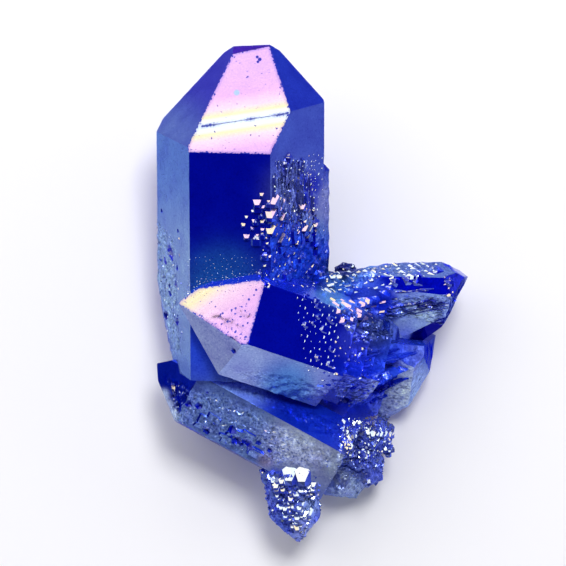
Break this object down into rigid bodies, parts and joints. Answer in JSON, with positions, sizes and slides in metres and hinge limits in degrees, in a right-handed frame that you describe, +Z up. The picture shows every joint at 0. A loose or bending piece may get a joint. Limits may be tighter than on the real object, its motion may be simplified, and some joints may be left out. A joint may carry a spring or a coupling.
{
  "type": "aura quartz cluster",
  "caption": "Natural cluster of six-sided quartz points grown together, coated with a deep blue iridescent film, lying on its flat broken back.",
  "frame": {"origin": "bottom centre of the bounding box, on the flat that the cluster rests on", "axes": "+Z up from the table, +Y along the main point towards its tip, +X to the right, where the broken slab stands out"},
  "size_m": [0.044, 0.0698, 0.0249],
  "materials": {
    "aura_quartz": "deep blue metallic aura coating on natural quartz faces, glossy, with pink, gold and violet reflections"
  },
  "bodies": {
    "root": {"quartz_cluster": "aura_quartz"}
  },
  "joints": []
}
